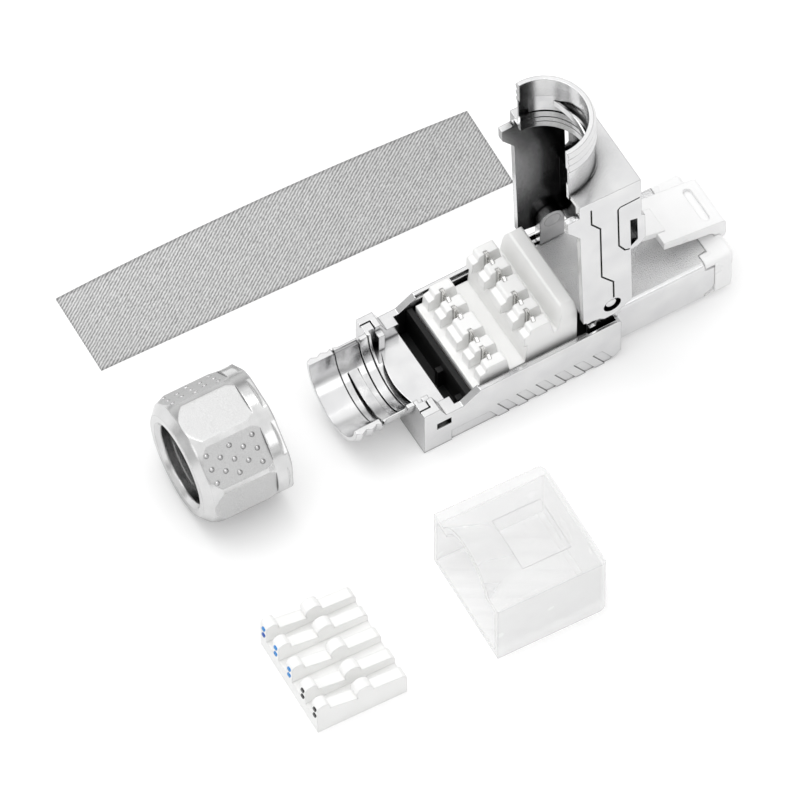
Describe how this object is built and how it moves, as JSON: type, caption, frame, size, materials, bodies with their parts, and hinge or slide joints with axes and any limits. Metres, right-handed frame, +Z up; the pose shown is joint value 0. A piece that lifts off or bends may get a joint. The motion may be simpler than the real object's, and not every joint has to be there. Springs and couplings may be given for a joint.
{
  "type": "field termination ethernet plug",
  "caption": "Shielded network plug for wiring in the field, hinged cover open, with its gland nut, wire organiser, dust cap and screening tape laid out.",
  "frame": {"origin": "underside of the tray, on the plug's middle plane, 12 mm in front of the tray's rear face", "axes": "+X to the plug's nose, +Y to its left side seen from behind, +Z up"},
  "size_m": [0.0671, 0.0632, 0.0413],
  "materials": {
    "plated_casting": "bright plated casting",
    "nut_metal": "satin plated, turned ends",
    "pin_metal": "plain",
    "shell_sheet": "fine grained sheet",
    "nose_plastic": "milky, smooth",
    "white_plastic": "satin moulding",
    "board": "solder mask",
    "black_plastic": "satin moulding",
    "spring_sheet": "bright sheet",
    "clear_plastic": "clear moulding",
    "tape_cloth": "plated woven cloth",
    "gilt_contact": "gilt",
    "blade_metal": "tinned"
  },
  "bodies": {
    "base": {"base_tray": "plated_casting", "gland_nut": "nut_metal", "hinge_pin_near": "pin_metal", "hinge_pin_far": "pin_metal", "front_shell": "shell_sheet", "plug_nose": "nose_plastic", "terminal_block": "white_plastic", "wire_organiser": "white_plastic", "circuit_board": "board", "board_liner": "black_plastic", "screen_clip_lower": "spring_sheet", "dust_cap": "clear_plastic", "screen_tape": "tape_cloth", "plug_contact_1": "gilt_contact", "plug_contact_2": "gilt_contact", "plug_contact_3": "gilt_contact", "plug_contact_4": "gilt_contact", "plug_contact_5": "gilt_contact", "plug_contact_6": "gilt_contact", "plug_contact_7": "gilt_contact", "plug_contact_8": "gilt_contact", "wire_blade_1": "blade_metal", "wire_blade_2": "blade_metal", "wire_blade_3": "blade_metal", "wire_blade_4": "blade_metal", "wire_blade_5": "blade_metal", "wire_blade_6": "blade_metal", "wire_blade_7": "blade_metal", "wire_blade_8": "blade_metal"},
    "cover_body": {"cover": "plated_casting", "screen_clip_upper": "spring_sheet"},
    "latch_body": {"latch_tab": "nose_plastic"}
  },
  "joints": [
    {"name": "cover_hinge", "type": "hinge", "parent": "base", "child": "cover_body", "pos_m": [0.01117, 0, 0.01088], "axis": [0, 1, 0], "range_deg": [-88.5, 0]},
    {"name": "latch_flex", "type": "hinge", "parent": "base", "child": "latch_body", "pos_m": [0.02695, 0, 0.00675], "axis": [0, 1, 0], "range_deg": [-14, 0], "stiffness_Nm_per_rad": 0.08}
  ]
}
